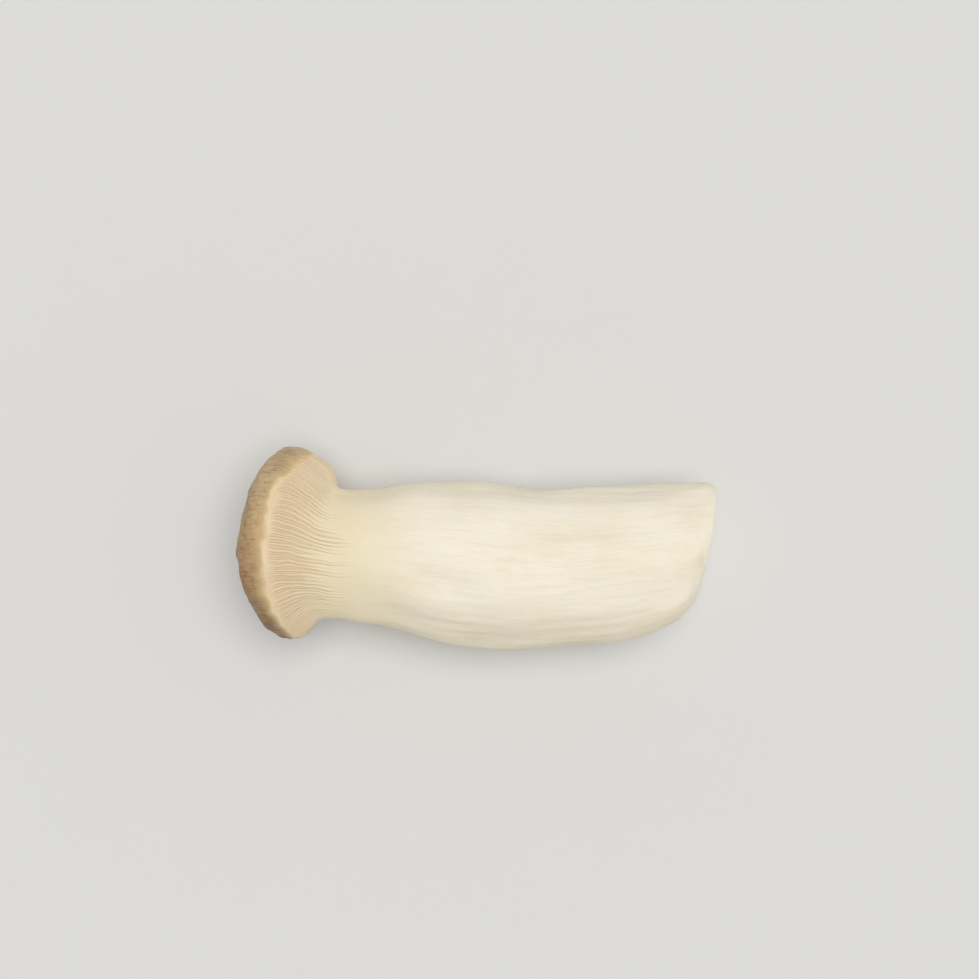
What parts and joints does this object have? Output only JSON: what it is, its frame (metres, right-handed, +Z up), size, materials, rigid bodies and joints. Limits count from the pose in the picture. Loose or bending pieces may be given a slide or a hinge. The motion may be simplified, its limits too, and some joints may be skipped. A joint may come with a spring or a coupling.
{
  "type": "king oyster mushroom",
  "caption": "Stout edible mushroom lying on its side: thick pale stem with a trimmed base, fine pale gills and a low brown cap.",
  "frame": {"origin": "middle of the footprint, on the surface that the mushroom lies on", "axes": "+X towards the cut base, -X towards the crown of the cap, +Z up"},
  "size_m": [0.112, 0.0484, 0.0421],
  "materials": {
    "flesh": "matte natural flesh: cream stem with fine lengthwise fibres, buff gills, and a fawn to brown cap"
  },
  "bodies": {
    "root": {"king_oyster_mushroom": "flesh"}
  },
  "joints": []
}
